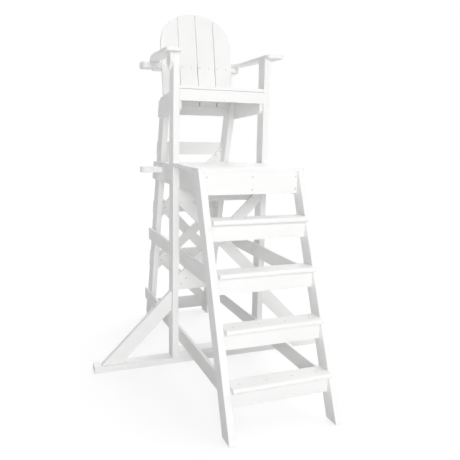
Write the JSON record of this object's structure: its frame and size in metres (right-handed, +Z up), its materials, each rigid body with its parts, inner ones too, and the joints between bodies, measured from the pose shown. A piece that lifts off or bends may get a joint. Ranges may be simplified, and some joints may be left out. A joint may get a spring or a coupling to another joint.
{
  "type": "lifeguard chair",
  "caption": "Tall open lifeguard chair of white plastic lumber with an arched back, flat arms, a front platform with a ladder, and a braced wide base.",
  "frame": {"origin": "on the floor at the middle of the footprint", "axes": "+Z up, +Y to the back of the chair, +X to the right as one faces the ladder"},
  "size_m": [1.59, 1.9796, 2.256],
  "materials": {
    "white_lumber": "satin white recycled plastic lumber"
  },
  "bodies": {
    "root": {"base_skid": "white_lumber", "base_spacer": "white_lumber", "outrigger_left": "white_lumber", "outrigger_right": "white_lumber", "front_post_left": "white_lumber", "front_post_right": "white_lumber", "back_leg_left": "white_lumber", "back_leg_right": "white_lumber", "lower_rail_left": "white_lumber", "lower_rail_right": "white_lumber", "middle_rail_left": "white_lumber", "middle_rail_right": "white_lumber", "front_board_lower": "white_lumber", "front_board_upper": "white_lumber", "front_brace_rising": "white_lumber", "front_brace_falling": "white_lumber", "rear_board_low": "white_lumber", "rear_board_broad": "white_lumber", "rear_board_middle": "white_lumber", "rear_board_upper": "white_lumber", "rear_braces_rising": "white_lumber", "rear_braces_falling": "white_lumber", "platform_rail_left": "white_lumber", "platform_rail_right": "white_lumber", "platform_fascia": "white_lumber", "platform_joist": "white_lumber", "platform_rear_board": "white_lumber", "deck_boards": "white_lumber", "stringer_left": "white_lumber", "stringer_right": "white_lumber", "treads": "white_lumber", "risers": "white_lumber", "seat_rail_left": "white_lumber", "seat_rail_right": "white_lumber", "seat_apron_front": "white_lumber", "seat_apron_rear": "white_lumber", "seat_boards": "white_lumber", "back_slats": "white_lumber", "arm_left": "white_lumber", "arm_right": "white_lumber", "arm_block": "white_lumber", "arm_rear_support": "white_lumber", "arm_rear_cleat": "white_lumber", "side_bracket": "white_lumber"}
  },
  "joints": []
}
